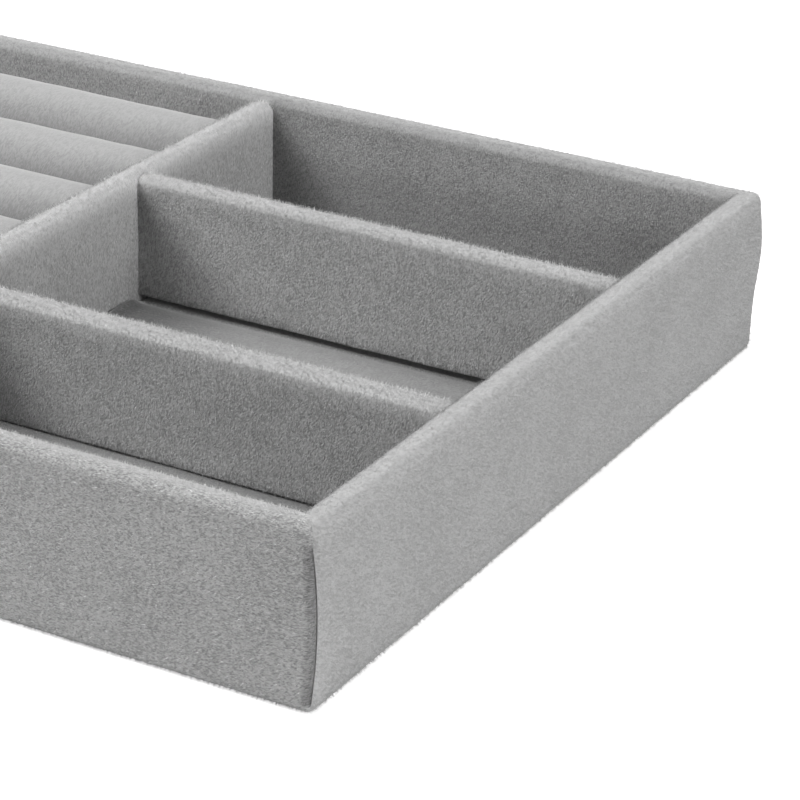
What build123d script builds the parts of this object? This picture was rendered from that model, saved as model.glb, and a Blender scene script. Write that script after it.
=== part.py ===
from build123d import *

import math
import os

# Velvet-covered jewelry tray: boards glued up into a shallow box, each wrapped in velvet, with three
# compartments on the right and a bay of foam ring rolls on the left.
# Millimetres. +X runs along the long side, +Y to the back, +Z up; the origin is the middle of the underside.

# Outside of the tray, over the velvet
tray_length = 350.0
tray_width = 240.0
tray_height = 46.5

# Stock that the tray is made from
velvet = 1.0
wall_board = 5.0
divider_board = 4.0
base_board = 4.5
floor_card = 2.0
felt = 1.0

# Eased edges along the tops of the boards, as a share of their thickness, and the rounds at the tray's upright
# corners, along its outer foot, at the upper ends of the dividers and along the feet of those that hang. The
# velvet over each turns a radius larger by its own thickness.
edge_round_share = 0.4
wall_corner_round = 1.5
wall_foot_round = 1.7
divider_end_round = 1.5
divider_foot_round = 0.2

# Rebate along the foot of the wall boards that the base board is glued into
rebate_depth = 2.5

# How far the felt stays back from the outside of the tray
felt_inset = 2.0

# Dividers: where they stand, how far their tops stay under the rim, and the slit under the short ones
cross_divider_x = 20.5
middle_compartment_depth = 83.0
cross_divider_drop = 1.0
divider_drop = 2.0
floor_slit = 1.6

# Stub tenons at the ends of the divider boards, in mortises of the boards that they meet
tenon_height = 16.0
tenon_depth = 2.0
tenon_clearance = 0.1

# Ring rolls: foam bars side by side over the whole depth of their bay
roll_count = 7
roll_drop = 5.0
roll_slit = 0.6

# Room round whatever is laid loose into a bay before it is glued down
lay_in_clearance = 0.4

# How far a cutting tool runs past the face that it leaves
overrun = 1.0

# Levels above the table
velvet_foot_z = felt
wall_board_foot_z = velvet_foot_z + velvet
base_top_z = felt + base_board
card_top_z = base_top_z + floor_card
floor_top_z = card_top_z + velvet
divider_foot_z = floor_top_z + floor_slit

# Plan sizes that several pieces share
wall_thickness = velvet + wall_board + velvet
divider_thickness = velvet + divider_board + velvet
inner_half_length = tray_length / 2 - wall_thickness
inner_half_width = tray_width / 2 - wall_thickness
base_inset = velvet + wall_board - rebate_depth
divider_y = (middle_compartment_depth + divider_thickness) / 2
cross_left_x = cross_divider_x - divider_thickness / 2
cross_right_x = cross_divider_x + divider_thickness / 2

wall_edge_round = edge_round_share * wall_board
divider_edge_round = edge_round_share * divider_board
diagonal_share = math.sqrt(0.5)


def block(x_range, y_range, z_range):
    """A box between two places along each axis."""
    corner = Location((x_range[0], y_range[0], z_range[0]))
    spans = [high - low for low, high in (x_range, y_range, z_range)]
    return corner * Box(*spans, align=(Align.MIN, Align.MIN, Align.MIN))


def along_x(section, x_low, x_high):
    """Carries a section, drawn with X for the tray's Y and Y for its Z, from x_low to x_high."""
    plane = Plane(origin=(x_low, 0, 0), x_dir=(0, 1, 0), z_dir=(1, 0, 0))
    return extrude(plane * section, x_high - x_low)


def along_y(section, y_low, y_high):
    """Carries a section, drawn with X for the tray's X and Y for its Z, from y_low to y_high."""
    plane = Plane(origin=(0, y_high, 0), x_dir=(1, 0, 0), z_dir=(0, -1, 0))
    return extrude(plane * section, y_high - y_low)


def upright(low, high, foot, top, top_round):
    """A section from low to high and foot to top, its two upper corners rounded."""
    outline = Polyline((low, foot), (high, foot), (high, top), (low, top), close=True)
    face = make_face(outline)
    return fillet(face.vertices().group_by(Axis.Y)[-1], top_round)


def ease(section, corners, radius):
    """Rounds the lower corners of a section that stand at these places along X."""
    lower = section.vertices().group_by(Axis.Y)[0]
    chosen = [corner for corner in lower if any(abs(corner.X - place) < radius / 2 for place in corners)]
    return fillet(chosen, radius)


# Walls: each is made lying along X, outside at y = 0, and mitred at 45 degrees at both ends


def mitred_plan(length, inset):
    """Plan of a wall layer that stays inset behind the outside, as deep as the whole wall."""
    reach = wall_corner_round + velvet
    radius = reach - inset
    end = length / 2
    turn = reach - radius * diagonal_share
    middle_angle = math.radians(67.5)
    middle = (end - reach + radius * math.cos(middle_angle), reach - radius * math.sin(middle_angle))
    edges = [
        Line((reach - end, inset), (end - reach, inset)),
        ThreePointArc((end - reach, inset), middle, (end - turn, turn)),
        Line((end - turn, turn), (end - wall_thickness, wall_thickness)),
        Line((end - wall_thickness, wall_thickness), (wall_thickness - end, wall_thickness)),
        Line((wall_thickness - end, wall_thickness), (turn - end, turn)),
        ThreePointArc((turn - end, turn), (-middle[0], middle[1]), (reach - end, inset)),
    ]
    return make_face(edges)


def mitred(section, length, inset):
    """Carries a wall section along the wall and cuts it to its mitred plan."""
    plan = extrude(mitred_plan(length, inset), tray_height)
    return along_x(section, -length / 2, length / 2) & plan


def base_room(length):
    """The room that the base board takes out of a wall of this length."""
    return block((-length / 2, length / 2), (base_inset, wall_thickness + overrun), (-overrun, base_top_z))


def wall_core_section():
    """Section of a wall board before its rebate, its outer foot rounded."""
    section = upright(velvet, velvet + wall_board, wall_board_foot_z, tray_height - velvet, wall_edge_round)
    return ease(section, [velvet], wall_foot_round)


def wall_core(length):
    """Wall board: eased along its top, rebated along its inner foot."""
    return mitred(wall_core_section(), length, velvet) - base_room(length)


def wall_cover(length):
    """Velvet that goes up the outside, over the rim, down the inside and, below, in under the board."""
    outside = upright(0, wall_thickness, velvet_foot_z, tray_height, wall_edge_round + velvet)
    outside = ease(outside, [0], wall_foot_round + velvet)
    return mitred(outside - wall_core_section(), length, 0) - base_room(length)


wall_places = {
    "front": (tray_length, Location((0, -tray_width / 2, 0), (0, 0, 0))),
    "right": (tray_width, Location((tray_length / 2, 0, 0), (0, 0, 90))),
    "back": (tray_length, Location((0, tray_width / 2, 0), (0, 0, 180))),
    "left": (tray_width, Location((-tray_length / 2, 0, 0), (0, 0, -90))),
}

parts = {}
for side, (length, place) in wall_places.items():
    parts[f"{side}_wall_board"] = place * wall_core(length)
    parts[f"{side}_wall_velvet"] = place * wall_cover(length)


# Base board in the rebate of the walls, with felt under it that laps onto the turned-in velvet


def plate(inset, foot, top):
    """A plate that stays inset behind the outside of the tray all round."""
    x, y = tray_length / 2 - inset, tray_width / 2 - inset
    return block((-x, x), (-y, y), (foot, top))


parts["base_board"] = plate(base_inset, felt, base_top_z)
parts["bottom_felt"] = plate(felt_inset, 0, felt)


# Dividers: a board with a stub tenon at each end, in a sleeve of velvet that is folded over its ends


def divider_body(end, half, foot, top, edge_round, foot_round, end_round):
    """A divider lying along X, centred, its long edges and the upper corners of its ends rounded."""
    section = upright(-half, half, foot, top, edge_round)
    if foot_round:
        section = ease(section, [-half, half], foot_round)
    profile = upright(-end, end, foot, top, end_round)
    return along_x(section, -end, end) & along_y(profile, -half, half)


def divider(length, foot, top, hanging):
    """Board and sleeve of a divider of this length over its velvet, with tenons that pass its ends.

    The sleeve of a hanging one goes on round its foot; the other stands on its foot with its sleeve open there."""
    half, end = divider_board / 2, length / 2 - velvet
    foot_round, foot_layer = (divider_foot_round, velvet) if hanging else (0, 0)
    core = divider_body(end, half, foot, top, divider_edge_round, foot_round, divider_end_round)
    tenon_foot = (foot + top - tenon_height) / 2
    reach = length / 2 + velvet + tenon_depth
    core += block((-reach, reach), (-half, half), (tenon_foot, tenon_foot + tenon_height))
    sleeve = divider_body(
        length / 2,
        half + velvet,
        foot - foot_layer,
        top + velvet,
        divider_edge_round + velvet,
        foot_round + foot_layer,
        divider_end_round + velvet,
    )
    return core, sleeve - core


def mortise(tenon_end, side, foot, top):
    """Room for a tenon that points along X to tenon_end, from the side where its divider lies."""
    half = divider_board / 2 + tenon_clearance
    low = (foot + top - tenon_height) / 2 - tenon_clearance
    deep = tenon_end + side * tenon_clearance
    mouth = tenon_end - side * (tenon_depth + velvet + overrun)
    return block(sorted((deep, mouth)), (-half, half), (low, low + tenon_height + 2 * tenon_clearance))


def cut(node, tool):
    """Takes a tool's room out of a node."""
    parts[node] = parts[node] - tool


# The cross divider stands on the base board between the front and the back wall.
cross_top = tray_height - cross_divider_drop - velvet
cross_core, cross_sleeve = divider(2 * inner_half_width, base_top_z, cross_top, hanging=False)
cross_place = Location((cross_divider_x, 0, 0), (0, 0, 90))
parts["cross_divider_board"] = cross_place * cross_core
parts["cross_divider_velvet"] = cross_place * cross_sleeve
for side, wall in ((-1, "front"), (1, "back")):
    tenon_end = side * (inner_half_width + velvet + tenon_depth)
    room = cross_place * mortise(tenon_end, side, base_top_z, cross_top)
    cut(f"{wall}_wall_board", room)
    cut(f"{wall}_wall_velvet", room)

# The two short dividers hang between the cross divider and the right wall, clear of the floor.
short_board_foot = divider_foot_z + velvet
short_top = tray_height - divider_drop - velvet
short_length = inner_half_length - cross_right_x
short_middle_x = (cross_right_x + inner_half_length) / 2
for side, name in ((-1, "front"), (1, "rear")):
    core, sleeve = divider(short_length, short_board_foot, short_top, hanging=True)
    place = Location((short_middle_x, side * divider_y, 0))
    parts[f"{name}_divider_board"] = place * core
    parts[f"{name}_divider_velvet"] = place * sleeve
    for end, host in ((-1, "cross_divider"), (1, "right_wall")):
        tenon_end = end * (short_length / 2 + velvet + tenon_depth)
        room = place * mortise(tenon_end, end, short_board_foot, short_top)
        cut(f"{host}_board", room)
        cut(f"{host}_velvet", room)


# Compartment floor: one velvet-covered card from the cross divider to the right wall, under the short dividers

floor_x = (cross_right_x + lay_in_clearance, inner_half_length - lay_in_clearance)
floor_y = (lay_in_clearance - inner_half_width, inner_half_width - lay_in_clearance)


def within(span, inset):
    """A span drawn in at both ends."""
    return (span[0] + inset, span[1] - inset)


card = block(within(floor_x, velvet), within(floor_y, velvet), (base_top_z, card_top_z))
cover = block(floor_x, floor_y, (base_top_z, floor_top_z))
cover = fillet(cover.faces().sort_by(Axis.Z)[-1].edges(), velvet)
parts["floor_card"] = card
parts["floor_velvet"] = cover - card


# Ring bay: a card on the base, and on it the foam bars, each under its own velvet, half round on top

bay_x = (lay_in_clearance - inner_half_length, cross_left_x - lay_in_clearance)
parts["ring_bay_card"] = block(bay_x, floor_y, (base_top_z, card_top_z))

roll_pitch = 2 * inner_half_width / roll_count
roll_radius = (roll_pitch - roll_slit) / 2
roll_top_z = tray_height - roll_drop


def roll_body(inset):
    """A roll drawn in by inset at its sides and top: upright sides under a half round."""
    radius = roll_radius - inset
    crown_z = roll_top_z - roll_radius
    edges = [
        Line((-radius, card_top_z), (radius, card_top_z)),
        Line((radius, card_top_z), (radius, crown_z)),
        ThreePointArc((radius, crown_z), (0, crown_z + radius), (-radius, crown_z)),
        Line((-radius, crown_z), (-radius, card_top_z)),
    ]
    return along_x(make_face(edges), *bay_x)


foam = roll_body(velvet)
roll_cover = roll_body(0) - foam
for number in range(roll_count):
    place = Location((0, inner_half_width - (number + 0.5) * roll_pitch, 0))
    parts[f"ring_roll_{number + 1}_foam"] = place * foam
    parts[f"ring_roll_{number + 1}_velvet"] = place * roll_cover


os.makedirs("parts", exist_ok=True)
for node, solid in parts.items():
    export_step(solid, f"parts/{node}.step")
print(len(parts), "nodes; rolls at a pitch of", round(roll_pitch, 2))
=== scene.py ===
import math

import bpy
import numpy as np
from mathutils import Matrix, Vector


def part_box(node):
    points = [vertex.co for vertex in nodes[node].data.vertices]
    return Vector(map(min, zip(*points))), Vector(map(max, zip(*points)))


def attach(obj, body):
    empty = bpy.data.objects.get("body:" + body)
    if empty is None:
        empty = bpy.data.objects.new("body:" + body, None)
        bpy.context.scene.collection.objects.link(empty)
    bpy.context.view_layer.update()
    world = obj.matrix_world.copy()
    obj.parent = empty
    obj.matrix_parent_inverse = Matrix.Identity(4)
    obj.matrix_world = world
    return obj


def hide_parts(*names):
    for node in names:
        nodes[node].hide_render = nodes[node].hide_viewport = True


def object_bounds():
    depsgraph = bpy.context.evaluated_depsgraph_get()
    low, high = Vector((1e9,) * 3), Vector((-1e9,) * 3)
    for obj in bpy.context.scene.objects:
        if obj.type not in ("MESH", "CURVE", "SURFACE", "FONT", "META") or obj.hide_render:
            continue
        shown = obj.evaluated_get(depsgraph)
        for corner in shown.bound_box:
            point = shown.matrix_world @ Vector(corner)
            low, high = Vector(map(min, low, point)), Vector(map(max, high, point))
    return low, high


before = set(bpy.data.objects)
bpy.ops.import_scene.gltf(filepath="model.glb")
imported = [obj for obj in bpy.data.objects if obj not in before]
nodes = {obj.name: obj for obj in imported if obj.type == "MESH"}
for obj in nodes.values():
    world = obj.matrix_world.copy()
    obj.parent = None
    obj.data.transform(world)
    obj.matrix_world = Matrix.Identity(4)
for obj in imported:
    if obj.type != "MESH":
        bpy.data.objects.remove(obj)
cad_low, cad_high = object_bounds()

# Boards
# The tray's stiff parts are medium density fibreboard, sawn, rebated and glued together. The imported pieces
# have the right shape and stay; they get the look of raw board: pale brown, with fine flecks of wood fibre.

METRES = 0.001
board_light = "#B79C78"
board_dark = "#94795A"
board_fleck = 0.9
board_fleck_bump = 0.05
board_rough = 0.85
fleck_detail, fleck_falloff = 4.0, 0.7
fleck_range = (0.3, 0.7)


def linear(code):
    """The colour of an sRGB hex code as linear red, green, blue and an alpha of 1."""
    parts = [int(code[place : place + 2], 16) / 255 for place in (1, 3, 5)]
    return [part / 12.92 if part <= 0.04045 else ((part + 0.055) / 1.055) ** 2.4 for part in parts] + [1.0]


def add_node(tree, kind, inputs=None, **settings):
    """Adds a node, sets what settings names on it, and gives its inputs a value or a link from a socket."""
    node = tree.nodes.new(kind)
    for name, value in settings.items():
        setattr(node, name, value)
    for socket, value in (inputs or {}).items():
        if isinstance(value, bpy.types.NodeSocket):
            tree.links.new(value, node.inputs[socket])
        else:
            node.inputs[socket].default_value = value
    return node


def empty_material(name):
    """A material whose node tree holds nothing yet, and that tree."""
    material = bpy.data.materials.new(name)
    material.use_nodes = True
    material.node_tree.nodes.clear()
    return material, material.node_tree


def finish_material(tree, **inputs):
    """Ends a tree in a Principled shader; an input's name has underscores for its spaces."""
    named = {name.replace("_", " "): value for name, value in inputs.items()}
    shader = add_node(tree, "ShaderNodeBsdfPrincipled", named)
    add_node(tree, "ShaderNodeOutputMaterial", {"Surface": shader.outputs["BSDF"]})


def flecked_material(name, light, dark, fleck, bump, roughness):
    """Fibres pressed to a sheet: two shades in flecks of this size in millimetres, with a low relief."""
    material, tree = empty_material(name)
    place = add_node(tree, "ShaderNodeTexCoord")
    flecks = add_node(
        tree,
        "ShaderNodeTexNoise",
        {
            "Vector": place.outputs["Object"],
            "Scale": 1 / (fleck * METRES),
            "Detail": fleck_detail,
            "Roughness": fleck_falloff,
        },
    )
    spread = add_node(
        tree,
        "ShaderNodeMapRange",
        {"Value": flecks.outputs["Fac"], "From Min": fleck_range[0], "From Max": fleck_range[1]},
    )
    shade = add_node(
        tree,
        "ShaderNodeMix",
        {0: spread.outputs["Result"], 6: linear(dark), 7: linear(light)},
        data_type="RGBA",
    )
    relief = add_node(
        tree,
        "ShaderNodeBump",
        {"Height": flecks.outputs["Fac"], "Distance": bump * METRES, "Strength": 1.0},
    )
    finish_material(tree, Base_Color=shade.outputs[2], Normal=relief.outputs["Normal"], Roughness=roughness)
    return material


def dress(names, material):
    """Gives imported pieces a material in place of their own."""
    for name in names:
        slots = nodes[name].material_slots
        if not slots:
            nodes[name].data.materials.append(material)
        for slot in slots:
            slot.material = material


fibreboard = flecked_material(
    "fibreboard", board_light, board_dark, board_fleck, board_fleck_bump, board_rough
)
dress([name for name in nodes if name.endswith("_board")], fibreboard)

# Cards
# The floor of the compartments and the ground of the ring bay are grey board, two millimetres thick, cut to
# the bay and glued down. It is pulp of waste paper: dull, grey, with fine darker fibres.

card_light = "#A9A7A2"
card_dark = "#85827C"
card_fleck = 0.6
card_fleck_bump = 0.02
card_rough = 0.9

greyboard = flecked_material("greyboard", card_light, card_dark, card_fleck, card_fleck_bump, card_rough)
dress([name for name in nodes if name.endswith("_card")], greyboard)

# Velvet of the four walls
# Each wall is covered in one strip of short-pile velvet, glued up its outside, over the rim, down the
# inside and in under its foot. At the upright corners a short wall's strip lies over its neighbour's.

MM = 1000
pile_light = "#B6B6B6"
pile_dark = "#8E8E8E"
short_light = "#B0B0B0"
short_dark = "#989898"
# The pale colour of the crown is a painted highlight
crown_highlight = "#BEBEBE"
hair_shade = "#D2D2D2"
sway_size, sway_reach, sway_detail = 6.0, 1.4, 1.0
cloud_size, cloud_share, cloud_detail = 22.0, 0.2, 2.0
tip_detail, tip_falloff = 1.5, 0.6
shade_range = (0.41, 0.59)
hair_width, hair_length, hair_turn = 0.22, 1.1, 25
hair_range = (0.52, 0.66)
tuft_share = 0.45
crown_range, crown_least = (0.35, 0.6), 0.5
pile_specular, pile_sheen, pile_sheen_spread = 0.1, 0.9, 0.5


def size_of(name):
    """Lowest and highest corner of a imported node, in millimetres."""
    low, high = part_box(name)
    return np.array(low) * MM, np.array(high) * MM


outer_low, outer_high = np.array(cad_low) * MM, np.array(cad_high) * MM
rim_top = outer_high[2]
wall_low, wall_high = size_of("front_wall_velvet")
core_low = size_of("front_wall_board")[0]
base_low, base_high = size_of("base_board")
felt_low, felt_high = size_of("bottom_felt")
wall_thickness = wall_high[1] - wall_low[1]
velvet = core_low[1] - wall_low[1]
turned_in = base_low[0] - outer_low[0]
felt_edge = felt_low[0] - outer_low[0]
rim_round = 3.0
corner_round = 2.5
board_foot_round = 1.7
pile_foot = 0.02


def velvet_material(name, nap_turn, shades, fleck, streak, bump, hairs):
    """Short-pile velvet, cut and brushed: matt where it is seen face on and, by its sheen, paler at a
    slant. The tips of the pile give flecks of fleck by streak millimetres, turned by nap_turn degrees from
    straight down the cloth, with tufts and pale hairs among them and brushed clouds some centimetres wide.
    The attribute tone scales the colour with painted light and shade; where crown is high the colour
    goes over to a painted highlight and the relief is more even, least so between the tips."""
    material, tree = empty_material(name)
    cloth = add_node(tree, "ShaderNodeUVMap", uv_map="cloth")
    tone = add_node(tree, "ShaderNodeAttribute", attribute_name="tone")
    crown = add_node(tree, "ShaderNodeAttribute", attribute_name="crown")
    wander = add_node(
        tree,
        "ShaderNodeTexNoise",
        {"Vector": cloth.outputs["UV"], "Scale": 1 / (sway_size * METRES), "Detail": sway_detail},
    )
    sway_inputs = {0: wander.outputs["Color"], 1: [sway_reach * METRES] * 3}
    sway = add_node(tree, "ShaderNodeVectorMath", sway_inputs, operation="MULTIPLY")
    bent = add_node(
        tree, "ShaderNodeVectorMath", {0: cloth.outputs["UV"], 1: sway.outputs["Vector"]}, operation="ADD"
    )
    grains = [
        add_node(
            tree,
            "ShaderNodeMapping",
            {
                "Vector": bent.outputs["Vector"],
                "Rotation": [0, 0, math.radians(nap_turn + turn)],
                "Scale": [size[0] * METRES, size[1] * METRES, 1],
            },
            vector_type="TEXTURE",
        )
        for size, turn in (((fleck, streak), 0), ((hair_width, hair_length), hair_turn))
    ]
    tips, strands = [
        add_node(
            tree,
            "ShaderNodeTexNoise",
            {"Vector": grain.outputs["Vector"], "Scale": 1.0, "Detail": detail, "Roughness": tip_falloff},
        )
        for grain, detail in zip(grains, (tip_detail, 0.0))
    ]
    tuft_inputs = {"Vector": grains[0].outputs["Vector"], "Scale": 1.0}
    tufts = add_node(tree, "ShaderNodeTexVoronoi", tuft_inputs, voronoi_dimensions="2D")
    clouds = add_node(
        tree,
        "ShaderNodeTexNoise",
        {"Vector": cloth.outputs["UV"], "Scale": 1 / (cloud_size * METRES), "Detail": cloud_detail},
    )
    flecks = add_node(
        tree, "ShaderNodeMix", {0: tuft_share, 2: tips.outputs["Fac"], 3: tufts.outputs["Color"]}
    )
    both = add_node(
        tree, "ShaderNodeMix", {0: cloud_share, 2: flecks.outputs[0], 3: clouds.outputs["Fac"]}
    )
    ranges = (
        (both.outputs[0], shade_range, 0.0, 1.0),
        (strands.outputs["Fac"], hair_range, 0.0, hairs),
        (flecks.outputs[0], crown_range, crown_least, 1.0),
    )
    spread, lone, tipped = [
        add_node(
            tree,
            "ShaderNodeMapRange",
            {"Value": value, "From Min": low, "From Max": high, "To Min": least, "To Max": most},
        )
        for value, (low, high), least, most in ranges
    ]
    crown_inputs = {0: crown.outputs["Fac"], 1: tipped.outputs["Result"]}
    on_crown = add_node(tree, "ShaderNodeMath", crown_inputs, operation="MULTIPLY")
    colour = linear(shades[0])
    # The last layer is the crown's painted highlight
    layers = (
        (spread.outputs["Result"], shades[1]),
        (lone.outputs["Result"], hair_shade),
        (on_crown.outputs[0], crown_highlight),
    )
    for share, code in layers:
        layer = add_node(tree, "ShaderNodeMix", {0: share, 6: colour, 7: linear(code)}, data_type="RGBA")
        colour = layer.outputs[2]
    toned = add_node(
        tree, "ShaderNodeVectorMath", {0: colour, "Scale": tone.outputs["Fac"]}, operation="SCALE"
    )
    rough = add_node(tree, "ShaderNodeMath", {0: 1.0, 1: crown.outputs["Fac"]}, operation="SUBTRACT")
    relief = add_node(
        tree,
        "ShaderNodeBump",
        {"Height": tips.outputs["Fac"], "Distance": bump * METRES, "Strength": rough.outputs[0]},
    )
    finish_material(
        tree,
        Base_Color=toned.outputs["Vector"],
        Normal=relief.outputs["Normal"],
        Roughness=1.0,
        Specular_IOR_Level=pile_specular,
        Sheen_Weight=pile_sheen,
        Sheen_Roughness=pile_sheen_spread,
    )
    return material


def ramp(values, start, end):
    """Nought before start, one after end, and between them an eased rise: three times the square of the
    share gone less twice its cube."""
    share = np.clip((values - start) / (end - start), 0, 1)
    return share * share * (3 - 2 * share)


def hump(values, middle, reach):
    """One at middle, falling to either side as a bell curve of this reach."""
    return np.exp(-(((values - middle) / reach) ** 2))


def blend(start, end, share):
    """From start to end by this share: start plus the share of their difference."""
    return start + (end - start) * share


wave_count = 20
wave_lengths = (0.7, 1.6)


def waves(u, v, size, seed):
    """A smooth random field of about -1 to 1: the sum of plane waves of many directions, each with a
    wavelength of size times a share drawn from wave_lengths."""
    draw = np.random.default_rng(seed)
    turn = draw.uniform(0, 2 * math.pi, wave_count)
    length = size * draw.uniform(*wave_lengths, wave_count)
    start = draw.uniform(0, 2 * math.pi, wave_count)
    ahead = u[..., None] * np.cos(turn) + v[..., None] * np.sin(turn)
    return np.sin(2 * math.pi * ahead / length + start).sum(-1) / math.sqrt(wave_count)


TINY = 1e-9


def directions_of(grid, closed):
    """Unit vectors along the rows of a grid of points, down its columns and out of it: its two steps and
    their cross product. A closed grid's rows meet again after the last one."""
    if closed:
        down = np.roll(grid, -1, 0) - np.roll(grid, 1, 0)
    else:
        down = np.gradient(grid, axis=0)
    along = np.gradient(grid, axis=1)
    ways = along, down, np.cross(down, along)
    return [way / np.maximum(np.linalg.norm(way, axis=2, keepdims=True), TINY) for way in ways]


def lengths_of(grid, axis):
    """How far each point of a grid lies along the cloth, on that axis, from the first one."""
    steps = np.linalg.norm(np.diff(grid, axis=axis), axis=2)
    pad = [(0, 0), (0, 0)]
    pad[axis] = (1, 0)
    return np.pad(np.cumsum(steps, axis=axis), pad)


def settled(grid, swells, seed):
    """How far cloth stands off its smooth form: the sum of waves, each with its own height, size and seed,
    over the cloth's length and girth."""
    span, drop = lengths_of(grid, 1), lengths_of(grid, 0)
    return sum(height * waves(span, drop, size, seed + own) for height, size, own in swells)


def laid_flat(face, closed):
    """Where each point lies when the cloth is laid flat, in millimetres along and across it, with the first
    row again at the end of a closed one."""
    rows, columns = face.shape[:2]
    ring = np.concatenate([face, face[:1]]) if closed else face
    along = lengths_of(face, 1)[rows // 2][None, :] + np.zeros((len(ring), 1))
    across = lengths_of(ring, 0)[:, columns // 2][:, None] + np.zeros((1, columns))
    return np.stack([along, across], -1)


def cells_of(grid):
    """The four corners of each cell of a grid, in the order that turns the face outwards."""
    return np.stack([grid[:-1, :-1], grid[1:, :-1], grid[1:, 1:], grid[:-1, 1:]], 2)


def new_piece(name, points, faces, maps, marks, material):
    """A smoothly shaded object with its place in its mesh, from points in millimetres, maps for the corners
    of its faces and marks for its points. It rides on the tray."""
    mesh = bpy.data.meshes.new(name)
    mesh.from_pydata((points * METRES).tolist(), [], faces)
    mesh.polygons.foreach_set("use_smooth", np.ones(len(faces), bool))
    for layer, values in maps.items():
        mesh.uv_layers.new(name=layer).uv.foreach_set("vector", values.astype(np.float32).ravel())
    for mark, values in marks.items():
        attribute = mesh.attributes.new(mark, "FLOAT", "POINT")
        attribute.data.foreach_set("value", values.astype(np.float32).ravel())
    mesh.materials.append(material)
    piece = bpy.data.objects.new(name, mesh)
    bpy.context.scene.collection.objects.link(piece)
    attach(piece, "root")
    return piece


# Where OFBake lays the pile side and the glued side, as low corner and size, and the spot of all borders
bake_corner, bake_room = np.array([0.01, 0.06]), np.array([0.98, 0.93])
glued_corner, glued_room = np.array([0.01, 0.015]), np.array([0.98, 0.035])
border_spot = np.array([[0.01, 0.002], [0.01, 0.008], [0.02, 0.008], [0.02, 0.002]])
cloth_crease = 60


def shell_mesh(name, face, back, material, marks, closed=False, cross_rows=0):
    """A cloth with its real thickness: the grid of its pile side and the grid of its glued side, of one
    shape, joined round their borders. A closed one is a sleeve whose rows meet again. Its map cloth is in
    metres along and across the velvet, turned a quarter in the first cross_rows rows, and OFBake lays both
    sides out flat."""
    rows, columns = face.shape[:2]
    count = rows * columns
    number = np.arange(count).reshape(rows, columns)
    if closed:
        number = np.vstack([number, number[:1]])
    front = cells_of(number).reshape(-1, 4)
    rear = front[:, ::-1] + count
    sides = [(number[:, 0], 1), (number[:, -1], -1)]
    if not closed:
        sides += [(number[0], -1), (number[-1], 1)]
    strips = []
    for edge, turn in sides:
        quads = np.stack([edge[:-1], edge[:-1] + count, edge[1:] + count, edge[1:]], -1)
        strips.append(quads[:, ::turn])
    faces = np.concatenate([front, rear, *strips])
    flat = laid_flat(face, closed)
    corner = cells_of(flat)
    share = (corner / flat.reshape(-1, 2).max(0)).reshape(-1, 4, 2)
    corner[:cross_rows] = corner[:cross_rows, ..., ::-1]
    corner = corner.reshape(-1, 4, 2)
    borders = np.zeros((len(faces) - 2 * len(front), 4, 2))
    cloth = np.concatenate([corner, corner[:, ::-1], borders])
    pile_side, glued_side = share * bake_room + bake_corner, share[:, ::-1] * glued_room + glued_corner
    bake = np.concatenate([pile_side, glued_side, borders + border_spot])
    both = {mark: np.tile((values + np.zeros((rows, columns))).ravel(), 2) for mark, values in marks.items()}
    points = np.concatenate([face.reshape(-1, 3), back.reshape(-1, 3)])
    maps = {"cloth": cloth * METRES, "OFBake": bake}
    piece = new_piece(name, points, faces.tolist(), maps, both, material)
    piece.data.set_sharp_from_angle(angle=math.radians(cloth_crease))
    return piece


# Strands of the pile: half widths, shares of their length, how deep they root, how far they stray, how much
# paler they are than the cloth and the reach of their own shades
strand_width = (0.045, 0.085)
strand_lengths = (0.6, 1.2)
strand_sunk = 0.15
strand_stray = 0.5
strand_shade, strand_shades = 0.1, 1.7
plain_spread, fine_spread = 0.42, 0.15
crown_evens = 0.75
strand_turn = 0.35
spike = np.array([[0, 2, 1], [0, 1, 3], [1, 2, 3], [2, 0, 3]])
strand_spot = 0.0012 * np.array([[-1, 0], [1, 0], [0, -1], [0, 1]])


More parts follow.
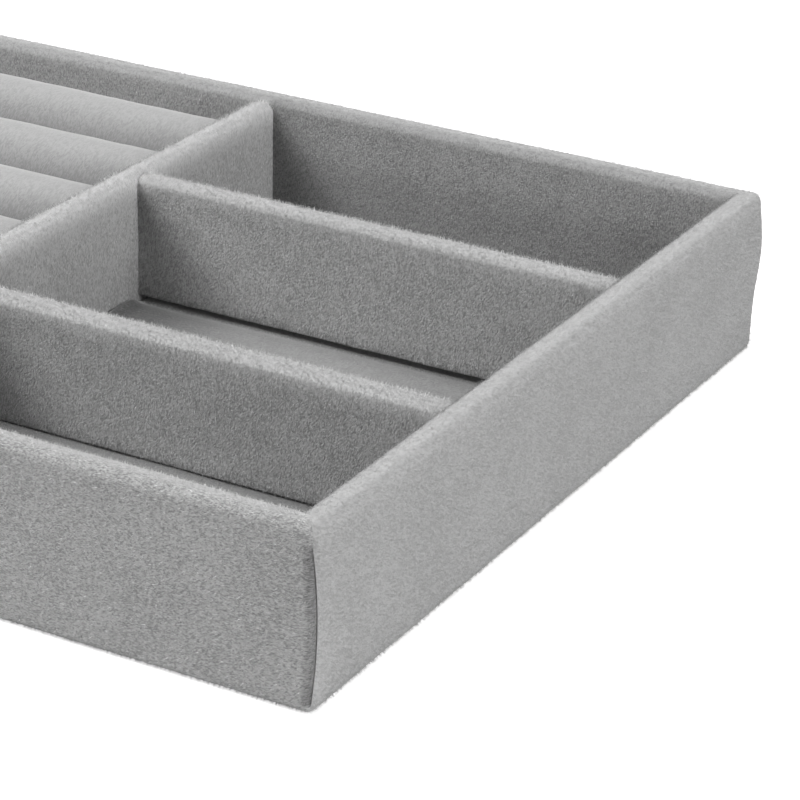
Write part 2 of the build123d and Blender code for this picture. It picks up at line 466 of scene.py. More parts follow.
def pile_mesh(
    name, face, flat, material, marks, closed, cross_rows, lean, length, weight, count, spread, seed
):
    """Strands that stand out of a cloth: slender closed spikes of four faces. Their places are spread over
    the grid's cells by area times weight, and each stands along the lean there and a little of its own. A
    strand takes its shade from where it grows, paler or darker by spread, and is lit much as the cloth
    there is."""
    draw = np.random.default_rng(seed)
    down, along = face[1:, :-1] - face[:-1, :-1], face[:-1, 1:] - face[:-1, :-1]
    shape = face.shape[:2] + (1,)
    area = np.linalg.norm(np.cross(down, along), axis=2) * (weight + np.zeros(shape[:2]))[:-1, :-1]
    total = np.cumsum(area.T.ravel()) / area.sum()
    cell = np.searchsorted(total, (np.arange(count) + draw.random(count)) / count)
    j, i = np.divmod(np.minimum(cell, area.size - 1), len(face) - 1)
    s, t = draw.random((2, count, 1))

    def at(values):
        """The values of a grid where the strands grow, blended across their cells."""
        top = values[i, j] * (1 - t) + values[i, j + 1] * t
        foot = values[i + 1, j] * (1 - t) + values[i + 1, j + 1] * t
        return top * (1 - s) + foot * s

    def unit(ways):
        """The same directions, one long."""
        return ways / np.linalg.norm(ways, axis=-1, keepdims=True)

    way = unit(at(lean) + draw.normal(0, strand_stray, (count, 3)))
    root = at(face) - strand_sunk * way
    reach = strand_sunk + at(length + np.zeros(shape)) * draw.uniform(*strand_lengths, (count, 1))
    side = unit(np.cross(way, draw.normal(0, 1, way.shape)))
    other = np.cross(way, side)
    width = draw.uniform(*strand_width, (count, 1))
    thirds = [turn * 2 * math.pi / 3 for turn in range(3)]
    ring = [root + width * (side * math.cos(turn) + other * math.sin(turn)) for turn in thirds]
    points = np.stack([*ring, root + reach * way], 1).reshape(-1, 3)
    points[:, 2] = np.maximum(points[:, 2], outer_low[2])
    faces = (np.arange(count)[:, None, None] * 4 + spike).reshape(-1, 3)
    place = at(flat[: len(face)])
    share = place / flat.reshape(-1, 2).max(0) * bake_room + bake_corner
    crossed = i < cross_rows
    place[crossed] = place[crossed, ::-1]
    on_faces = faces.ravel()
    cloth = np.repeat(place, 4, axis=0)[on_faces] * METRES
    bake = (share[:, None] + strand_spot).reshape(-1, 2)[on_faces]
    wide = {mark: (values + np.zeros(shape[:2]))[..., None] for mark, values in marks.items()}
    held = {mark: np.repeat(at(values), 4, axis=1) for mark, values in wide.items()}
    paler = strand_shade + spread * draw.uniform(-strand_shades, strand_shades, (count, 1))
    held["tone"] *= np.exp(paler * (1 - crown_evens * held["crown"][:, :1]))
    maps = {"cloth": cloth, "OFBake": bake}
    piece = new_piece(name, points, faces.tolist(), maps, held, material)
    lit = unit(at(directions_of(face, closed)[2]) + strand_turn * side)
    piece.data.normals_split_custom_set_from_vertices(np.repeat(lit, 4, axis=0).tolist())
    return piece


def piled_cloth(name, face, back, material, marks, *grown, closed=False, cross_rows=0):
    """A cloth, the pile that stands on it, and the size in metres that the cloth was cut to: the length and
    the girth of its pile side. Grown is the pile's lean, length, weight, count, spread and seed."""
    piece = shell_mesh(f"{name}_cover", face, back, material, marks, closed, cross_rows)
    flat = laid_flat(face, closed)
    pile = pile_mesh(f"{name}_pile", face, flat, material, marks, closed, cross_rows, *grown)
    return piece, pile, flat.reshape(-1, 2).max(0) * METRES


def line(start, end, count):
    """Places from start to end, without the end."""
    return np.linspace(start, end, count, endpoint=False)


def bow(centre, radius, turns, count):
    """Places on an arc, between two angles in degrees, without the end."""
    angle = np.radians(np.linspace(*turns, count, endpoint=False))
    return np.stack([centre[0] + radius * np.cos(angle), centre[1] + radius * np.sin(angle)], 1)


inner_rows, rim_rows, outer_rows = 22, 12, 24
flat_rows, heel_rows = 2, 6
inside_rows = inner_rows + rim_rows // 2
heel_turns = {"pile": 255, "glued": 270}
corner_zone = 9.0
corner_columns, corner_crowding = 34, 1.7
least_radius = 1e-4
wall_step = 1.8


def wall_profile(skin):
    """Depth behind the outside and height, from the inner foot over the rim to the edge turned in below,
    for the pile side (skin 0) or the glued side (skin the velvet's thickness). The pile is pressed out
    round the foot down to the table; behind it the cloth lies flat under the board and over the edge of
    the felt."""
    inside, outside = wall_thickness - skin, skin
    radius = rim_round - skin
    crown = rim_top - rim_round
    heel_round = board_foot_round + velvet - skin
    heel = wall_low[2] + skin if skin else pile_foot
    heel_turn = heel_turns["glued" if skin else "pile"]
    edge = skin + heel_round if skin else felt_edge
    return np.concatenate(
        [
            line((inside, base_high[2]), (inside, crown), inner_rows),
            bow((wall_thickness - rim_round, crown), radius, (0, 90), rim_rows),
            line((wall_thickness - rim_round, crown + radius), (rim_round, crown + radius), flat_rows),
            bow((rim_round, crown), radius, (90, 180), rim_rows),
            line((outside, crown), (outside, heel + heel_round), outer_rows),
            bow((outside + heel_round, heel + heel_round), heel_round, (180, heel_turn), heel_rows),
            line((edge, wall_low[2] + skin), (turned_in, wall_low[2] + skin), flat_rows),
            [(turned_in, wall_low[2] + skin)],
        ]
    )


def wall_grid(length, profile, seam):
    """Carries a wall profile along the wall, x along it and y inwards. In the corner zone at each end, a
    row runs straight to the round of the tray's plan, round its offset to the mitre and seam further on.
    Also gives how far each point lies from that end of its row."""
    half = length / 2
    straight = half - corner_round - corner_zone
    middle = np.linspace(-straight, straight, int(2 * straight / wall_step))
    share = 1 - (1 - np.linspace(0, 1, corner_columns)[1:]) ** corner_crowding
    depth, height = profile[:, 0, None], profile[:, 1, None]
    radius = np.maximum(corner_round - depth, least_radius)
    run = half - np.maximum(corner_round, depth) - straight
    gone = share * (run + radius * math.pi / 4 + seam)
    beyond = gone - run
    angle = np.clip(beyond / radius, 0, math.pi / 2)
    past = np.maximum(beyond - radius * math.pi / 2, 0) * (depth < corner_round)
    x = straight + np.minimum(gone, run) + radius * np.sin(angle)
    y = depth + radius * (1 - np.cos(angle)) + past
    xs = np.hstack([-x[:, ::-1], middle + 0 * depth, x])
    ys = np.hstack([y[:, ::-1], depth + 0 * middle, y])
    zs = height + 0 * xs
    left = (run + radius * math.pi / 4 + seam) - gone
    edge = np.hstack([left[:, ::-1], corner_zone + 0 * depth + 0 * middle, left])
    return np.stack([xs, ys, zs], 2), edge


def turned(grid, quarter, offset):
    """A wall's grid, turned by quarter turns about the vertical and moved to its side of the tray."""
    cos, sin = round(math.cos(quarter * math.pi / 2)), round(math.sin(quarter * math.pi / 2))
    x = grid[..., 0] * cos - grid[..., 1] * sin + offset[0]
    y = grid[..., 0] * sin + grid[..., 1] * cos + offset[1]
    return np.stack([x, y, grid[..., 2]], -1)


seam_reach = 1.5
seam_foot, seam_top = 1.0, rim_top - 5.0


def seam_way(height):
    """How far round the corner the seam lies at each height: none at the rim, seam_reach at half the
    height, and back to the corner at the foot, as half a sine wave."""
    share = np.clip((height - seam_foot) / (seam_top - seam_foot), 0, 1)
    return seam_reach * np.sin(math.pi * share)


def napped(ways, turn, lay):
    """The way that pile stands: out of the cloth, laid over by lay towards turn degrees from down the
    cloth."""
    along, down, out = ways
    return out + lay * (math.cos(math.radians(turn)) * down - math.sin(math.radians(turn)) * along)


half_x, half_y = outer_high[0], outer_high[1]
long_nap, short_nap, inner_nap = 72, -62, 12
long_velvet = velvet_material(
    "velvet_long_walls", long_nap, (pile_dark, pile_light), fleck=0.36, streak=0.6, bump=0.32, hairs=0.5
)
short_velvet = velvet_material(
    "velvet_short_walls", short_nap, (short_dark, short_light), fleck=0.45, streak=1.1, bump=0.12, hairs=0.3
)
# For each wall: length, quarter turns, offset, cloth, nap, strands, and where the rim's painted highlight
# and upright strands fade out across the wall and down its outside
walls = {
    "front": (2 * half_x, 0, (0, -half_y), long_velvet, long_nap, 45000, (1.2, 5.0), 3.5),
    "right": (2 * half_y, 1, (half_x, 0), short_velvet, short_nap, 31000, (-1.5, 0.8), 4.5),
    "back": (2 * half_x, 2, (0, half_y), long_velvet, long_nap, 45000, (0.2, 2.0), 5.0),
    "left": (2 * half_y, 3, (-half_x, 0), short_velvet, short_nap, 31000, (-1.5, 0.8), 4.5),
}
wall_swells = ((0.05, 30, 0), (0.03, 7, 10))
crest_drop, indoor_reach = 0.4, 2.5
# Painted shade on the inside of the walls: tones at the rim and at the foot, the share of the height over
# which it falls, and a darker band at the rim's inner edge
inside_tones, inside_fall = (0.95, 0.71), (0.2, 0.55)
# Painted light on the short walls: paler towards the foot, as lit from the white floor, and a painted
# highlight on the shoulder below the rim
foot_painted_light, foot_fade = 0.2, (30.0, 3.0)
shoulder_highlight, shoulder_drop, shoulder_reach = 0.14, 2.2, 1.8
inner_edge_reach = 1.0
inner_edges = {"front": (0.36, 6.0), "right": (0.36, 6.0), "back": (0.22, 5.7), "left": (0.36, 6.0)}
# Painted shadow of the cross divider: in its corner, and in a band that widens towards the foot
corner_shadow, corner_reach, corner_spread = 0.2, 8.0, 16.0
rear_band, front_band = (-9.0, 37.0, 8.0, 7.0), (1.0, 22.0, 13.0, 3.0)
back_shadow = 0.18
face_strand, crown_strand, foot_strand = 1.0, 0.85, 0.9
face_lay = 1.3
inner_pile, outer_pile, crown_pile, heel_pile = 0.7, 1.0, 1.8, 3.0
heel_upright, heel_fade, heel_depth = (2.5, 1.0), (2.5, 0.8), 1.8
wall_pile_seed = 40
bulge, bulge_depth = 1.4, 1.0
bulge_middle, bulge_height, bulge_width = rim_top - 16.0, 12.0, 7.0
outermost = 0.01
seam_calm = 3
lap_starts, lap_full = rim_top - 3.5, rim_top - 7.5
lap_rise, lap_width = 0.12, 0.8
groove_depth, groove_width = 0.25, 1.6
# Painted shade beside the seam on the long walls
groove_shades = ((0.3, (3.2, 2.0)), (0.28, (2.0, 0.6)))
# How strong the rim's painted highlight and the evening of its pile are at most, by whether the strip lies
# over its neighbour's
highlight_and_smoothing = {False: 0.8, True: 0.6}
cross_right = size_of("cross_divider_velvet")[1][0]


def shadowed(from_cross, below, depth, band):
    """What is left of the light on cloth that stands at right angles to the cross divider: less in the
    corner, and less by depth in a band that moves away from it and widens towards the foot. Below is a
    share of the height; the band holds its place and width at the top and what each gains on the way
    down."""
    start, slope, reach, spread = band
    near = corner_shadow * hump(from_cross, 0, corner_reach + corner_spread * below)
    far = depth * hump(from_cross, start + slope * below, reach + spread * below)
    return (1 - near) * (1 - far)


for order, (side, (length, quarter, offset, cloth, nap, strands, fade, bend)) in enumerate(walls.items()):
    rows = wall_profile(0)
    depth, height = rows[:, 0, None], rows[:, 1, None]
    outside = (depth < outermost) * np.ones(1)
    lies_over = cloth is short_velvet
    seam = seam_way(height) * outside * (-1 if lies_over else 1)
    bare, edge = wall_grid(length, rows, seam)
    glued, _ = wall_grid(length, wall_profile(velvet), seam)
    ways = directions_of(bare, False)
    settle = settled(bare, wall_swells, order)
    deep = outside * ramp(height, lap_starts, lap_full)
    if lies_over:
        lap = lap_rise * hump(edge, 0, lap_width)
    else:
        lap = -groove_depth * hump(edge, 0, groove_width)
    placed = turned(bare, quarter, offset)
    to_rear = ramp(placed[..., 1], 0, half_y / 2)
    swell = bulge * hump(height, bulge_middle, bulge_height) * hump(edge, 0, bulge_width)
    swell = swell * (depth < bulge_depth) * to_rear
    off_form = settle * np.clip(edge / seam_calm, 0, 1) + lap * deep + swell
    shaped = bare + ways[2] * off_form[..., None]
    face, back = turned(shaped, quarter, offset), turned(glued, quarter, offset)
    # Painted highlight: the crown's pale colour rises towards the rim; the same rise stands the strands up
    rise = ramp(height, rim_top - bend, rim_top - crest_drop) * ramp(depth, *fade)
    crown = highlight_and_smoothing[lies_over] * rise
    # Painted shade: the inside darker, darker still towards the foot, and darker at the rim's inner edge
    indoors = ramp(depth, wall_thickness - indoor_reach, wall_thickness)
    below = (rim_top - height) / (rim_top - base_high[2])
    tone = blend(1, blend(*inside_tones, ramp(below, *inside_fall)), indoors)
    edge_shade, edge_depth = inner_edges[side]
    inner_edge = hump(depth, edge_depth, inner_edge_reach) * (height > rim_top - rim_round)
    tone = tone * (1 - edge_shade * inner_edge)
    if lies_over:
        # Painted light from the white floor near the foot, and a painted highlight on the shoulder
        tone = tone * (1 + foot_painted_light * ramp(height, *foot_fade) * outside)
        shoulder = hump(height, rim_top - shoulder_drop, shoulder_reach) * (depth < rim_round)
        tone = tone * (1 + shoulder_highlight * shoulder)
    else:
        # Painted shade beside the seam, then the cross divider's painted shadow on the back wall's inside
        for shade, reach in groove_shades:
            tone = tone * (1 - shade * ramp(edge, *reach) * deep)
        from_cross = placed[..., 0] - cross_right
        left = shadowed(from_cross, below, back_shadow, rear_band)
        tone = tone * blend(1, left, indoors * (from_cross > 0))
    marks = {"tone": tone, "crown": crown}
    ways = directions_of(face, False)
    inner = depth[..., None] > wall_thickness - velvet
    lean = np.where(inner, napped(ways, inner_nap, face_lay), napped(ways, nap, face_lay))
    upright = (rise + ramp(height, *heel_upright))[..., None]
    lean = blend(lean, ways[2], np.clip(upright, 0, 1))
    heel = ramp(height, *heel_fade) * (depth < heel_depth)
    strand = face_strand + (crown_strand - face_strand) * rise + (foot_strand - face_strand) * heel
    weight = np.where(inner[..., 0], inner_pile, outer_pile) + crown_pile * crown + heel_pile * heel
    spread = fine_spread if lies_over else plain_spread
    grown = (lean, strand[..., None], weight, strands, spread, wall_pile_seed + order)
    piece, pile, cut = piled_cloth(f"{side}_wall", face, back, cloth, marks, *grown, cross_rows=inside_rows)
    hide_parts(f"{side}_wall_velvet")

# Dividers
# Each divider is a thin board in a sleeve of velvet that is folded over its ends. The cross divider stands
# on the base; the two short ones hang between it and the right wall, with a slit under them.

inside_velvet = velvet_material(
    "velvet_dividers", inner_nap, (pile_dark, pile_light), fleck=0.36, streak=0.75, bump=0.34, hairs=0.45
)
divider_round = 2.6
hem_round, glued_hem_round = 0.5, 0.2
side_rows, cap_rows, hem_rows, under_rows = 22, 10, 6, 3
end_zone, end_columns = 6.0, 16
divider_step = 1.8
squeezed = 0.6
narrowed = 0.05
divider_swells = ((0.05, 26, 0), (0.03, 7, 10))
divider_crown, cap_drop = 0.75, 0.2
divider_strand, divider_top_strand, hem_strand = 0.6, 1.15, 0.95
divider_upright = (3.0, 0.5)
hem_fade, hem_middle, hem_reach = 0.4, 1.2, 1.5
side_pile, top_pile, hem_pile, top_pile_fade = 0.5, 1.5, 3.0, (6.0, 1.0)
divider_seed, divider_pile_seed = 60, 80


def divider_profile(half, foot, top, skin, hanging):
    """Place across and height, from one foot over the top to the other foot, for the pile side (skin 0)
    or the glued side (skin the velvet's thickness). A hanging one goes on round its underside and
    closes."""
    half, top, foot = half - skin, top - skin, foot + skin * hanging
    radius, under = divider_round - skin, (glued_hem_round if skin else hem_round) * hanging
    parts = [
        line((half, foot + under), (half, top - radius), side_rows),
        bow((half - radius, top - radius), radius, (0, 90), cap_rows),
        line((half - radius, top), (radius - half, top), flat_rows),
        bow((radius - half, top - radius), radius, (90, 180), cap_rows),
        line((-half, top - radius), (-half, foot + under), side_rows),
    ]
    if hanging:
        parts += [
            bow((under - half, foot + under), under, (180, 270), hem_rows),
            line((under - half, foot), (half - under, foot), under_rows),
            bow((half - under, foot + under), under, (270, 360), hem_rows),
        ]
    else:
        parts.append([(-half, foot)])
    return np.concatenate(parts)


def rounding(gone, radius):
    """How far a quarter round of this radius has drawn back at each distance from its end: the radius less
    the height of its circle there."""
    return radius - np.sqrt(np.maximum(radius**2 - np.maximum(radius - gone, 0) ** 2, 0))


def places_along(length, zone, end_count, count):
    """Places along a bar, closest together in the zones at its ends, and how far each lies from the nearer
    end."""
    ends = zone * (1 - np.cos(np.linspace(0, math.pi / 2, end_count))[:-1])
    far = np.concatenate([ends, np.linspace(zone, length - zone, count), length - ends[::-1]])
    return far, np.minimum(far, length - far)


def divider_grid(length, profile, end_round, count):
    """Carries a divider's profile along x. Near its ends the top comes down round an arc of end_round and
    the sides draw in a little."""
    far, end = places_along(length, end_zone, end_columns, count)
    across, height = profile[:, 0, None], profile[:, 1, None]
    half, top, middle_height = across.max(), height.max(), (height.max() + height.min()) / 2
    sinking = np.clip((height - middle_height) / (top - half - middle_height), 0, 1)
    xs = far - length / 2 + 0 * across
    ys = across * (half - rounding(end, narrowed)) / half
    zs = height - rounding(end, end_round) * sinking
    return np.stack([xs, ys, zs], 2)


# For each divider: quarter turns, round of its upper ends, where the top's painted highlight fades out down
# the sides, tones of top and sides (painted light and shade), depth of the top's tone, painted highlight of
# the shoulder (share, drop, reach), depth and band of the painted shadow, how far the hem hangs, strands
dividers = {
    "cross_divider": (1, 3.2, (12.5, 3.0), (1.18, 1.18), 1.5, (0.56, 2.0, 2.9), 0, rear_band, 0, 25000),
    "rear_divider": (0, 1.6, (6.0, 1.0), (1.04, 1.17), 2.2, (0.13, 3.4, 1.8), 0.28, rear_band, 0.6, 19000),
    "front_divider": (0, 1.6, (7.0, 0.5), (0.98, 1.17), 2.2, (0.4, 2.2, 2.9), 0.6, front_band, 0, 19000),
}

for order, (name, values) in enumerate(dividers.items()):
    quarter, end_round, fade, tones, cap, glow, shadow, band, hang, strands = values
    low, high = size_of(f"{name}_velvet")
    hanging = quarter == 0
    length, half = (high - low)[quarter], (high - low)[1 - quarter] / 2
    centre = (low + high) / 2
    count = int(length / divider_step)
    profile = divider_profile(half, low[2] - hang, high[2], 0, hanging)
    bare = divider_grid(length + 2 * squeezed, profile, end_round, count)
    inner = divider_profile(half, low[2], high[2], velvet, hanging)
    glued = divider_grid(length - 2 * velvet, inner, end_round - velvet, count)
    ways = directions_of(bare, hanging)
    settle = settled(bare, divider_swells, divider_seed + order)
    face = turned(bare + ways[2] * settle[..., None], quarter, centre)
    back = turned(glued, quarter, centre)
    height = profile[:, 1, None]
    # Painted light and shade: the crown's painted highlight, tones of the top and sides, a painted highlight
    # on the shoulder and, on a hanging one, the painted shadow of the cross divider
    rise = ramp(height, high[2] - fade[0], high[2] - fade[1])
    capped = ramp(height, high[2] - cap, high[2] - cap_drop)
    tone = tones[1] * (1 + glow[0] * hump(height, high[2] - glow[1], glow[2]))
    tone = blend(tone, tones[0], capped)
    if hanging:
        below = (high[2] - height) / (high[2] - low[2])
        left = shadowed(bare[..., 0] + length / 2, below, shadow, band)
        tone = tone * blend(1, left, 1 - rise)
    marks = {"tone": tone, "crown": divider_crown * rise}
    ways = directions_of(face, hanging)
    fades = (divider_upright, top_pile_fade)
    upright, bushy = [ramp(height, high[2] - start, high[2] - end)[..., None] for start, end in fades]
    lean = blend(napped(ways, inner_nap, face_lay), ways[2], upright)
    hem = hanging * ramp(height, low[2], low[2] + hem_fade) * hump(height, low[2] + hem_middle, hem_reach)
    weight = side_pile + top_pile * bushy[..., 0] + hem_pile * hem
    strand = blend(divider_strand, divider_top_strand, upright)
    strand = strand + (hem_strand - divider_strand) * hem[..., None]
    grown = (lean, strand, weight, strands, plain_spread, divider_pile_seed + order)
    piece, pile, cut = piled_cloth(name, face, back, inside_velvet, marks, *grown, closed=hanging)
    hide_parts(f"{name}_velvet")

# Floor of the compartments
# One card covered in the same velvet lies from the cross divider to the right wall, under the short
# dividers. Its pile is pressed flatter than that of the walls and its darker shades are painted shade,
# for a floor deep in the tray. Its edges turn down round the card.

# Darker than the walls' velvet: painted shade for a floor deep in the tray
floor_light = "#8B8B8B"
floor_dark = "#757575"
floor_nap = 4
floor_step = 1.6
border_rows, border_turns = 3, 7
glued_edge_round = 0.02
dense_reach, dense_step = 5.5, 0.5
floor_swell, floor_swell_size, floor_seed = 0.06, 34, 90
lifted_height = 3
dip_depth, dip_half, dip_power = 0.8, 5.4, 4
cross_rise, cross_rise_width, cross_rise_fade = 2.1, 2.0, (3, 9)
front_rise, front_rise_from, front_rise_at = 1.25, 1.2, 0.2
# Painted shade along the short dividers' feet, less in front of the front one, and the painted shadow of the
# cross divider on the floor
foot_shade, foot_shade_middle, foot_shade_width, foot_shade_fade = 0.64, 3.0, 5.2, (1.0, 3.2)
front_shade = 0.4
corner_shade, corner_shade_middle, corner_shade_width = 0.45, 19.0, 27.0
floor_strand, floor_strands, floor_pile_seed = 0.7, 12000, 91
floor_pile, slit_pile_middle, slit_pile_reach = 0.06, 3.6, 0.9

floor_velvet = velvet_material(
    "velvet_floor", floor_nap, (floor_dark, floor_light), fleck=0.4, streak=0.8, bump=0.1, hairs=0.12
)


def pad_line(low, high, foot, top, radius, shares):
    """Places along one direction of a covered card and the height there: up one side, round over the
    edge, across at these shares of the flat, and down the other side."""
    side = line((low, foot), (low, top - radius), border_rows)
    turn = bow((low + radius, top - radius), radius, (180, 90), border_turns)
    half = np.concatenate([side, turn])
    middle = low + radius + (high - low - 2 * radius) * shares
    flat = np.stack([middle, 0 * middle + top], 1)
    other = np.stack([low + high - half[::-1, 0], half[::-1, 1]], 1)
    return np.concatenate([half, flat, other])


def pad_grid(low, high, inset, radius, shares):
    """A card's cover: rows from back to front and columns from left to right, at the lower of the two
    heights that the row's and the column's place ask for."""
    top = high[2] - inset
    x = pad_line(low[0] + inset, high[0] - inset, low[2], top, radius, shares[0])
    y = pad_line(low[1] + inset, high[1] - inset, low[2], top, radius, shares[1])[::-1]
    xs, ys = np.meshgrid(x[:, 0], y[:, 0])
    zs = np.minimum(x[None, :, 1], y[:, None, 1])
    return np.stack([xs, ys, zs], 2)


floor_low, floor_high = size_of("floor_velvet")
over_slits = [size_of(f"{side}_divider_velvet") for side in ("rear", "front")]
slit_middles = [sum(corner[1] for corner in corners) / 2 for corners in over_slits]
front_face = over_slits[1][0][1]
beside_slit = np.arange(-dense_reach, dense_reach, dense_step)
spans = (floor_high - floor_low)[:2]
dense = [(middle + beside_slit - floor_low[1]) / spans[1] for middle in slit_middles]
even = [np.linspace(0, 1, int(side / floor_step)) for side in spans]
shares = (even[0], np.unique(np.concatenate([even[1], *dense])))
bare = pad_grid(floor_low, floor_high, 0, velvet, shares)
glued = pad_grid(floor_low, floor_high, velvet, glued_edge_round, shares)
upper = np.clip((bare[..., 2] - floor_low[2]) / lifted_height, 0, 1)
from_cross = bare[..., 0] - floor_low[0]
from_divider = np.min([np.abs(bare[..., 1] - middle) for middle in slit_middles], axis=0)
in_front = ramp(bare[..., 1], front_face + front_rise_from, front_face + front_rise_at)
dip = dip_depth * np.exp(-((from_divider / dip_half) ** dip_power))
beside_cross = cross_rise * ramp(from_divider, *cross_rise_fade) * hump(from_cross, 0, cross_rise_width)
swell = floor_swell * waves(bare[..., 0], bare[..., 1], floor_swell_size, floor_seed)
bed = blend(beside_cross - dip, front_rise, in_front)
bare[..., 2] += (swell + bed) * upper
# Painted shade along the short dividers' feet and painted shadow of the cross divider across the floor
shade = blend(foot_shade, front_shade, in_front) * hump(from_divider, foot_shade_middle, foot_shade_width)
shade = shade * ramp(from_divider, *foot_shade_fade)
tone = (1 - shade) * (1 - corner_shade * hump(from_cross, corner_shade_middle, corner_shade_width))
marks = {"tone": tone, "crown": 0 * tone}
out = directions_of(bare, False)[2]
weight = floor_pile + hump(from_divider, slit_pile_middle, slit_pile_reach)
grown = (out, floor_strand, weight, floor_strands, plain_spread, floor_pile_seed)
piece, pile, cut = piled_cloth("floor", bare, glued, floor_velvet, marks, *grown)
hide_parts("floor_velvet")

# Ring rolls
# Seven bars of soft foam lie side by side on their card, each with its own velvet drawn over it and tucked
# down beside it, so that rings are held in the slits between them. The foam is cut polyurethane: matt,
# cream and finely pitted. The velvet on it is stretched, so that its tips show less than on the walls.

roll_count = 7
foam_light = "#E6E1D2"
foam_dark = "#CFC8B4"
foam_cell, foam_cell_depth, foam_rough = 0.8, 0.15, 1.0
roll_light = "#AAAAAA"
roll_dark = "#989898"
roll_nap = 5
roll_rows, roll_end_columns = 10, 7
roll_step = 2.2
roll_end_round, bar_end_round = 2.0, 1.0
roll_narrowing = 0.25
bar_room, bar_fill = 0.02, 0.9
roll_swells, settle_height = ((0.12, 60, 0), (0.05, 14, 20)), 20
# Painted shade down each roll's sides into the slits: tones at the foot and crest and where they change,
# then a painted highlight along the crest
roll_tones, roll_shade = (0.58, 0.91), (0.35, 1.05)
crest_fade, roll_crown = (0.8, 1.0), 0.48

foam = flecked_material("polyurethane_foam", foam_light, foam_dark, foam_cell, foam_cell_depth, foam_rough)
roll_velvet = velvet_material(
    "velvet_rolls", roll_nap, (roll_dark, roll_light), fleck=0.36, streak=0.9, bump=0.08, hairs=0.12
)


def roll_profile(half, foot, crown):
    """Place across and height of a roll: up one side, over a half circle and down the other side."""
    return np.concatenate(
        [
            line((half, foot), (half, crown), roll_rows),
            bow((0, crown), half, (0, 180), 3 * roll_rows),
            line((-half, crown), (-half, foot), roll_rows),
            [(-half, foot)],
        ]
    )


def roll_grid(length, profile, end_round):
    """Carries a roll's profile along x; at its ends it sinks and narrows round an arc of end_round."""
    far, end = places_along(length, end_round, roll_end_columns, int(length / roll_step))
    dip = rounding(end, end_round)
    across, height = profile[:, 0, None], profile[:, 1, None]
    share = (height - height.min()) / np.ptp(height)
    xs = far - length / 2 + 0 * across
    return np.stack([xs, across * (1 - roll_narrowing * dip / across.max()), height - dip * share], 2)


# Where OFBake lays a bar's underside and its ends, as low corner and size; the ends lie cap_step apart
strip_corner, strip_room = np.array([0.0, 0.01]), np.array([1.0, 0.015])
cap_corner, cap_step, cap_room = 0.03, 0.2, np.array([0.15, 0.02])
bar_crease = 50


def bar_mesh(name, grid, material):
    """A solid bar from a grid whose rows go round it: its sides in quads, its underside and its two ends in
    one face each. OFBake lays the sides out flat over the ends and the underside."""
    rows, columns = grid.shape[:2]
    number = np.arange(rows * columns).reshape(rows, columns)
    sides = cells_of(number).reshape(-1, 4).tolist()
    under = [number[-1].tolist() + number[0, ::-1].tolist()]
    ends = [number[:, 0].tolist()[::-1], number[:, -1].tolist()]
    flat = laid_flat(grid, False)
    share = (flat / flat.reshape(-1, 2).max(0)).reshape(-1, 2) * bake_room + bake_corner
    points = grid.reshape(-1, 3)
    place = (points - points.min(0)) / np.ptp(points, axis=0)
    strip = strip_corner + place[:, :2] * strip_room
    caps = [np.array([cap_step * turn, cap_corner]) + place[:, 1:] * cap_room for turn in (1, 3)]
    loops = [share[side] for side in sides] + [strip[under[0]], caps[0][ends[0]], caps[1][ends[1]]]
    faces = sides + under + ends
    piece = new_piece(name, points, faces, {"OFBake": np.concatenate(loops)}, {}, material)
    piece.data.set_sharp_from_angle(angle=math.radians(bar_crease))
    return piece


for number in range(1, roll_count + 1):
    node = f"ring_roll_{number}_velvet"
    low, high = size_of(node)
    centre, half = (low + high) / 2, (high[1] - low[1]) / 2
    spring = high[2] - half
    length = high[0] - low[0]
    bar_half = half - velvet - bar_room
    bar = roll_grid(length - 2 * bar_room, roll_profile(bar_half, low[2], spring), bar_end_round)
    bar = bar_mesh(f"ring_roll_{number}_bar", turned(bar, 0, centre), foam)
    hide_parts(f"ring_roll_{number}_foam")
    bare = roll_grid(length, roll_profile(half, low[2], spring), roll_end_round)
    glued = roll_grid(length, roll_profile(half - velvet, low[2], spring), bar_end_round)
    settle = settled(bare, roll_swells, number) * np.clip((bare[..., 2] - low[2]) / settle_height, 0, 1)
    out = directions_of(bare, False)[2]
    face = turned(bare + out * settle[..., None], 0, centre)
    # Painted shade down the roll's sides and a painted highlight along its crest
    share = np.clip((bare[..., 2] - spring) / half, 0, 1)
    tone = blend(*roll_tones, ramp(share, *roll_shade))
    marks = {"tone": tone, "crown": roll_crown * ramp(share, *crest_fade)}
    piece = shell_mesh(f"ring_roll_{number}_cover", face, turned(glued, 0, centre), roll_velvet, marks)
    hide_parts(node)
    cut = laid_flat(face, False).reshape(-1, 2).max(0) * METRES

# Felt
# A sheet of pressed felt is glued under the base so that the tray stands softly. It is matted fibre, so it
# is dull all over, with loose darker and lighter strands.

felt_light = "#8F8F90"
felt_dark = "#6C6C6E"
felt_fleck = 1.4
felt_fleck_bump = 0.12
felt_rough = 1.0
felt_step = 5.0
felt_edge_round = 0.4

pressed_felt = flecked_material(
    "pressed_felt", felt_light, felt_dark, felt_fleck, felt_fleck_bump, felt_rough
)
even = [np.linspace(0, 1, int(side / felt_step)) for side in (felt_high - felt_low)[:2]]
upper = pad_grid(felt_low, felt_high, 0, felt_edge_round, even)
upper[..., 2] = felt_high[2]
under = pad_grid(felt_low, felt_high, 0, felt_edge_round, even)
under[..., 2] = felt_low[2] + felt_high[2] - np.maximum(under[..., 2], felt_high[2] - felt_edge_round)
piece = shell_mesh("bottom_felt_sheet", upper, under, pressed_felt, {})
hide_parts("bottom_felt")

# Stage and light
# The tray stands on a white sheet that runs on into a white ground. A large lamp in front on the left gives
# the soft shadows inside the compartments, one on the right lights the short side.

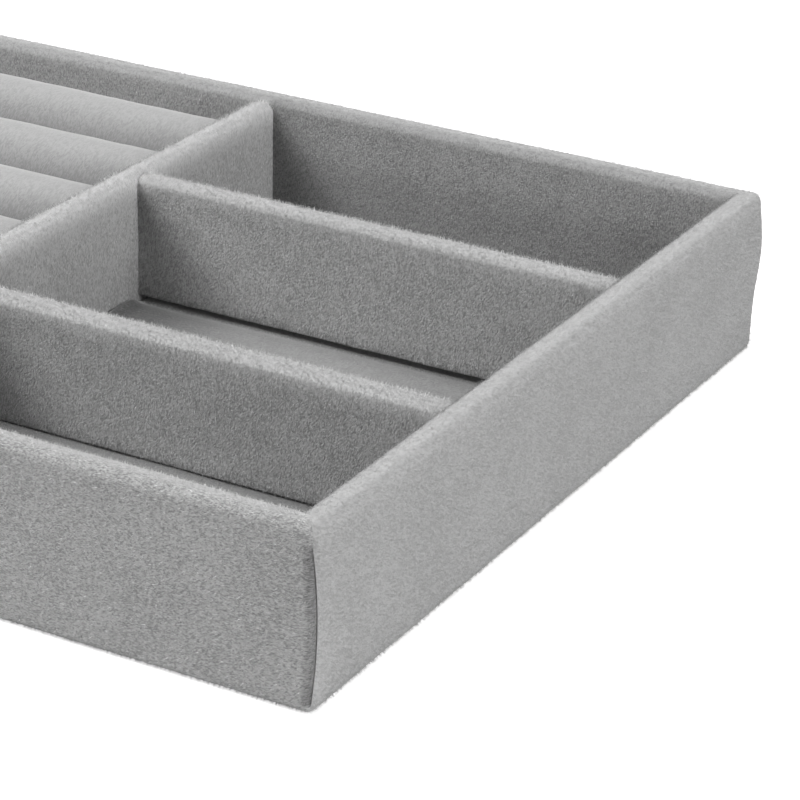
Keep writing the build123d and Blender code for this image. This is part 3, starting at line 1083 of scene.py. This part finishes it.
camera_place = Vector((0.4760, -0.6378, 0.3478))
camera_target = Vector((0.1348, -0.0096, 0.0240))
camera_roll = math.radians(1.584)
camera_lens = 142.54
camera_near = 0.01
white = [1.0, 1.0, 1.0, 1.0]
paper_shade = "#ECECEC"
paper_glow = 0.72
room_light = 0.05
floor_reach = 6.0
# For each lamp: place in metres, width in metres, and the light on a surface that faces it
lamps = {
    "front_left_lamp": ((-0.70, -0.35, 1.25), 0.8, 1.13),
    "right_lamp": ((1.35, -0.20, 0.55), 0.8, 0.46),
    "top_lamp": ((0.1, 0.1, 1.5), 0.9, 0.12),
}


def white_shown(tree):
    """One where the camera or a mirror-like ray looks, nought for the rays that light the tray."""
    path = add_node(tree, "ShaderNodeLightPath")
    seen = path.outputs["Is Camera Ray"]
    for ray in ("Is Glossy Ray", "Is Transmission Ray"):
        most = add_node(tree, "ShaderNodeMath", {0: seen, 1: path.outputs[ray]}, operation="MAXIMUM")
        seen = most.outputs[0]
    return seen


world = bpy.data.worlds.new("white_room")
bpy.context.scene.world = world
world.use_nodes = True
tree = world.node_tree
tree.nodes.clear()
seen = white_shown(tree)
dim = add_node(tree, "ShaderNodeBackground", {"Color": white, "Strength": room_light})
bright = add_node(tree, "ShaderNodeBackground", {"Color": white, "Strength": 1.0})
room = add_node(tree, "ShaderNodeMixShader", {0: seen, 1: dim.outputs[0], 2: bright.outputs[0]})
add_node(tree, "ShaderNodeOutputWorld", {"Surface": room.outputs[0]})

paper, tree = empty_material("white_paper")
seen = white_shown(tree)
lift = add_node(tree, "ShaderNodeMath", {0: seen, 1: paper_glow}, operation="MULTIPLY")
matt = add_node(tree, "ShaderNodeBsdfDiffuse", {"Color": linear(paper_shade)})
glow = add_node(tree, "ShaderNodeEmission", {"Color": white, "Strength": lift.outputs[0]})
both = add_node(tree, "ShaderNodeAddShader", {0: matt.outputs[0], 1: glow.outputs[0]})
add_node(tree, "ShaderNodeOutputMaterial", {"Surface": both.outputs[0]})

floor_mesh = bpy.data.meshes.new("floor")
corners = [(x * floor_reach, y * floor_reach, 0) for x, y in ((-1, -1), (1, -1), (1, 1), (-1, 1))]
floor_mesh.from_pydata(corners, [], [(0, 1, 2, 3)])
floor_mesh.materials.append(paper)
floor = bpy.data.objects.new("floor", floor_mesh)
bpy.context.scene.collection.objects.link(floor)


def lamp(name, place, width, level):
    """A square lamp that faces the tray. Level is the light on a surface that faces it, as a share of
    full."""
    light = bpy.data.lights.new(name, "AREA")
    light.size = width
    away = Vector(place)
    light.energy = level * math.pi**2 * away.length_squared
    holder = bpy.data.objects.new(name, light)
    holder.matrix_world = Matrix.Translation(away) @ away.to_track_quat("Z", "Y").to_matrix().to_4x4()
    bpy.context.scene.collection.objects.link(holder)


for name, (place, width, level) in lamps.items():
    lamp(name, place, width, level)

away = (camera_target - camera_place).normalized()
side_way = away.cross(Vector((0, 0, 1))).normalized()
up_way = side_way.cross(away)
right_way = math.cos(camera_roll) * side_way + math.sin(camera_roll) * up_way
upper_way = math.cos(camera_roll) * up_way - math.sin(camera_roll) * side_way
camera = bpy.data.cameras.new("camera")
camera.lens = camera_lens
camera.clip_start = camera_near
view = bpy.data.objects.new("camera", camera)
axes = Matrix((right_way, upper_way, -away)).transposed().to_4x4()
view.matrix_world = Matrix.Translation(camera_place) @ axes
bpy.context.scene.collection.objects.link(view)
bpy.context.scene.camera = view
bpy.context.scene.view_settings.view_transform = "Standard"
